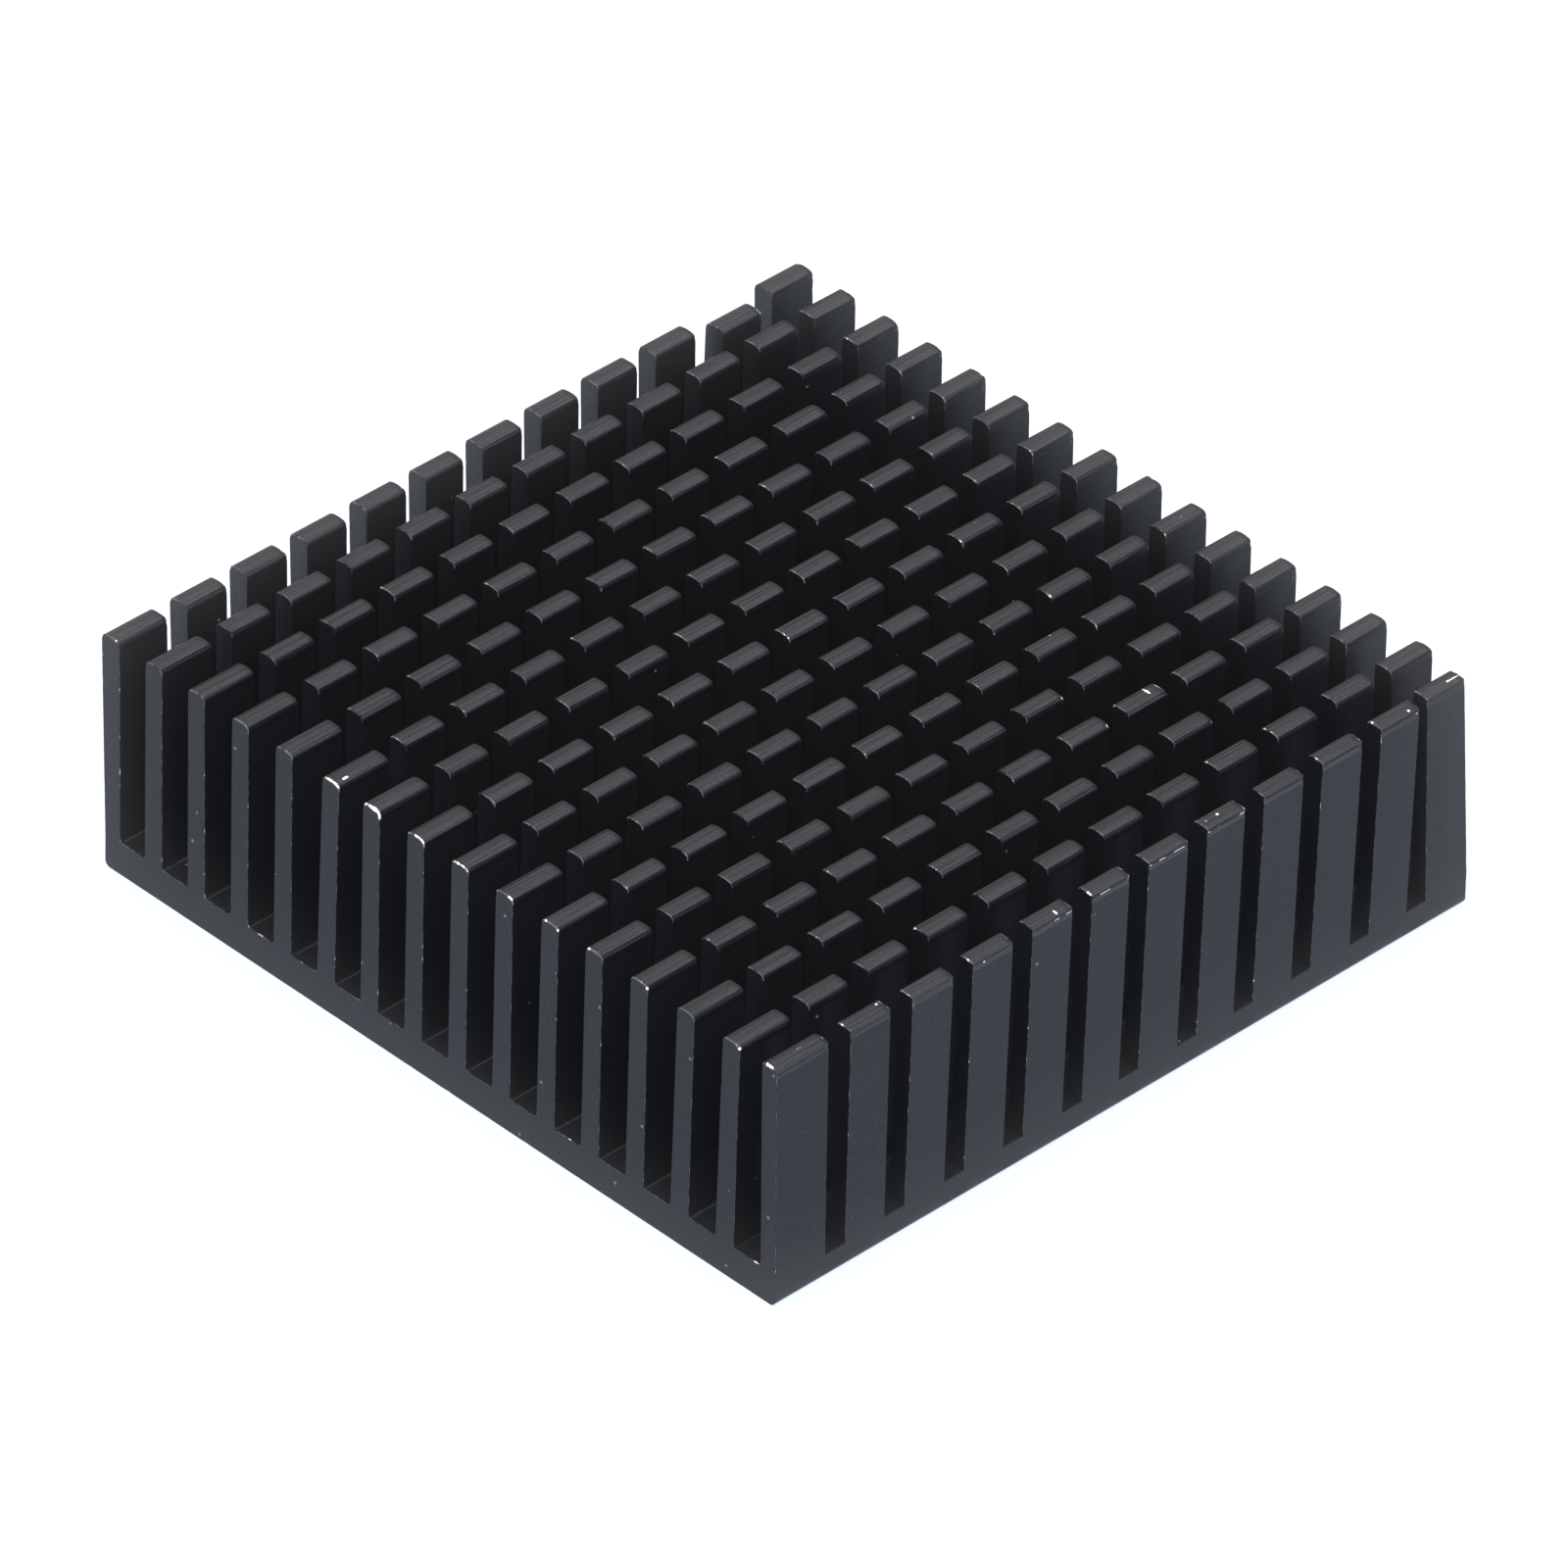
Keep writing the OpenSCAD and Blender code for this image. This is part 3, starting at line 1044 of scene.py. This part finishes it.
def add_floor():
    """A plain pale floor that gives some light of its own."""
    mesh = bpy.data.meshes.new("floor")
    corners = [(x * FLOOR_HALF, y * FLOOR_HALF, 0) for x, y in ((-1, -1), (1, -1), (1, 1), (-1, 1))]
    mesh.from_pydata(corners, [], [(0, 1, 2, 3)])
    floor = bpy.data.objects.new("floor", mesh)
    bpy.context.scene.collection.objects.link(floor)
    material = bpy.data.materials.new("pale_floor")
    n = Nodes(material)
    n.put(FLOOR_COLOUR, n.shader.inputs["Base Color"])
    n.put(FLOOR_ROUGH, n.shader.inputs["Roughness"])
    n.put(0.0, n.shader.inputs["Specular IOR Level"])
    n.put(FLOOR_LIGHT, n.shader.inputs["Emission Color"])
    n.put(1.0, n.shader.inputs["Emission Strength"])
    mesh.materials.append(material)


def add_shade():
    """The shade behind the part, which only the part's own reflections show."""
    mesh = bpy.data.meshes.new("shade")
    mesh.from_pydata([(x * MM, y * MM, SHADE_LIFT * MM) for x, y in SHADE], [], [(0, 1, 2, 3)])
    shade = bpy.data.objects.new("shade", mesh)
    shade.visible_camera = False
    shade.visible_diffuse = False
    shade.visible_shadow = False
    bpy.context.scene.collection.objects.link(shade)
    material = bpy.data.materials.new("floor_shade")
    n = Nodes(material)
    axes = n.add("ShaderNodeSeparateXYZ", {"Vector": n.add("ShaderNodeTexCoord").outputs["Object"]})
    share = n.band(axes.outputs["X"], SHADE[0][0] * MM, SHADE[1][0] * MM, *SHADE_LIGHT)
    n.put((0, 0, 0, 1), n.shader.inputs["Base Color"])
    n.put(0.0, n.shader.inputs["Specular IOR Level"])
    n.put(FLOOR_LIGHT, n.shader.inputs["Emission Color"])
    n.put(share, n.shader.inputs["Emission Strength"])
    mesh.materials.append(material)


def add_light():
    """A pale tent with a bright roof, and one large soft lamp overhead."""
    scene = bpy.context.scene
    world = bpy.data.worlds.new("tent")
    world.use_nodes = True
    tree = world.node_tree
    direction = tree.nodes.new("ShaderNodeTexCoord").outputs["Generated"]
    axes = tree.nodes.new("ShaderNodeSeparateXYZ")
    strength = tree.nodes.new("ShaderNodeMapRange")
    strength.interpolation_type = "SMOOTHSTEP"
    settings = zip(("From Min", "From Max", "To Min", "To Max"), (*ROOF_EDGE, TENT_WALL, TENT_ROOF))
    for name, value in settings:
        strength.inputs[name].default_value = value
    background = tree.nodes["Background"]
    background.inputs["Color"].default_value = (*TENT_COLOUR, 1)
    links = [
        (direction, axes.inputs[0]),
        (axes.outputs["Z"], strength.inputs["Value"]),
        (strength.outputs["Result"], background.inputs["Strength"]),
    ]
    for out_socket, in_socket in links:
        tree.links.new(out_socket, in_socket)
    scene.world = world
    scene.view_settings.view_transform = "Standard"

    lamp = bpy.data.lights.new("overhead", "AREA")
    lamp.shape = "DISK"
    lamp.size = LAMP_SIZE
    lamp.energy = LAMP_POWER
    lamp.color = TENT_COLOUR
    overhead = bpy.data.objects.new("overhead", lamp)
    overhead.location = (0, 0, LAMP_HEIGHT)
    scene.collection.objects.link(overhead)


def add_lens_veil():
    """The faint veil that a lens lays over dark parts beside a bright background."""
    scene = bpy.context.scene
    scene.use_nodes = True
    tree = scene.node_tree
    tree.nodes.clear()
    image = tree.nodes.new("CompositorNodeRLayers").outputs["Image"]
    cap = tree.nodes.new("CompositorNodeMixRGB")
    cap.blend_type = "DARKEN"
    cap.inputs[2].default_value = (1, 1, 1, 1)
    blur = tree.nodes.new("CompositorNodeBlur")
    blur.filter_type = "FAST_GAUSS"
    reach = tree.nodes.new("CompositorNodeRelativeToPixel")
    reach.data_type = "VECTOR"
    reach.inputs[0].default_value = (VEIL_REACH, VEIL_REACH)
    glow = tree.nodes.new("CompositorNodeMixRGB")
    glow.blend_type = "ADD"
    glow.inputs[0].default_value = VEIL_SHARE
    flat = tree.nodes.new("CompositorNodeMixRGB")
    flat.blend_type = "ADD"
    flat.inputs[2].default_value = VEIL_FLAT
    result = tree.nodes.new("CompositorNodeComposite")
    links = [
        (image, cap.inputs[1]),
        (cap.outputs[0], blur.inputs["Image"]),
        (image, reach.inputs["Image"]),
        (reach.outputs[1], blur.inputs["Size"]),
        (image, glow.inputs[1]),
        (blur.outputs[0], glow.inputs[2]),
        (glow.outputs[0], flat.inputs[1]),
        (flat.outputs[0], result.inputs[0]),
    ]
    for out_socket, in_socket in links:
        tree.links.new(out_socket, in_socket)


# Camera fitted to the photograph's view: place in metres, heading, tilt and roll, lens and sensor in
# millimetres, and the nearest distance that it sees in metres
CAMERA_PLACE = Vector((-0.38824, -0.38568, 0.41294))
CAMERA_AZIMUTH = math.radians(44.829)
CAMERA_DOWN = math.radians(36.69)
CAMERA_ROLL = math.radians(1.739)
CAMERA_LENS = 378.6
CAMERA_SENSOR = 36.0
CAMERA_CLIP = 0.01


def add_camera():
    """The camera, turned by its heading, tilt and roll."""
    data = bpy.data.cameras.new("camera")
    data.lens = CAMERA_LENS
    data.sensor_width = CAMERA_SENSOR
    data.clip_start = CAMERA_CLIP
    camera = bpy.data.objects.new("camera", data)
    look = Vector((math.cos(CAMERA_AZIMUTH), math.sin(CAMERA_AZIMUTH), -math.tan(CAMERA_DOWN))).normalized()
    level = Vector((math.sin(CAMERA_AZIMUTH), -math.cos(CAMERA_AZIMUTH), 0))
    upright = level.cross(look)
    right = level * math.cos(CAMERA_ROLL) + upright * math.sin(CAMERA_ROLL)
    up = upright * math.cos(CAMERA_ROLL) - level * math.sin(CAMERA_ROLL)
    turn = Matrix((right, up, -look)).transposed()
    camera.matrix_world = Matrix.Translation(CAMERA_PLACE) @ turn.to_4x4()
    bpy.context.scene.collection.objects.link(camera)
    bpy.context.scene.camera = camera


add_camera()
add_heat_sink()
add_floor()
add_shade()
add_light()
add_lens_veil()
